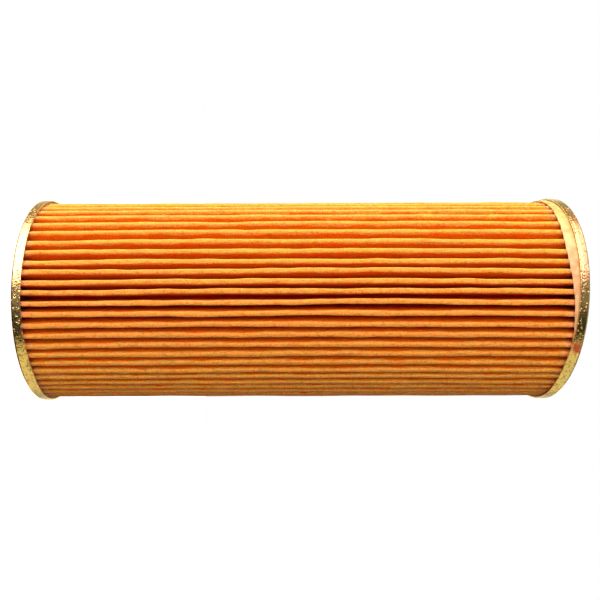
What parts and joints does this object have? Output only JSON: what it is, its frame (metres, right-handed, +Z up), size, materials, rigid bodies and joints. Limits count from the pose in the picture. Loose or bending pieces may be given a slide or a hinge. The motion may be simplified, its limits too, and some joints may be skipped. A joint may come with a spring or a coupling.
{
  "type": "pleated filter element",
  "caption": "Cylindrical pleated paper filter element: folded amber media round a slotted core tube, bonded into shallow metal end caps with flat gaskets.",
  "frame": {"origin": "on the axis, at the underside of the bottom gasket, where the element stands", "axes": "+Z up the element's axis to the top cap, +X towards the side where the askew top cap sits nearest the pleats, -Y towards the picture's camera"},
  "size_m": [0.0721, 0.072, 0.1858],
  "materials": {
    "cap_steel": "gloss",
    "adhesive": "satin",
    "filter_paper": "matte",
    "core_steel": "satin",
    "gasket_rubber": "matte"
  },
  "bodies": {
    "root": {"bottom_end_cap": "cap_steel", "top_end_cap": "cap_steel", "bottom_adhesive": "adhesive", "top_adhesive": "adhesive", "pleated_media": "filter_paper", "core_tube": "core_steel", "bottom_gasket": "gasket_rubber", "top_gasket": "gasket_rubber"}
  },
  "joints": []
}
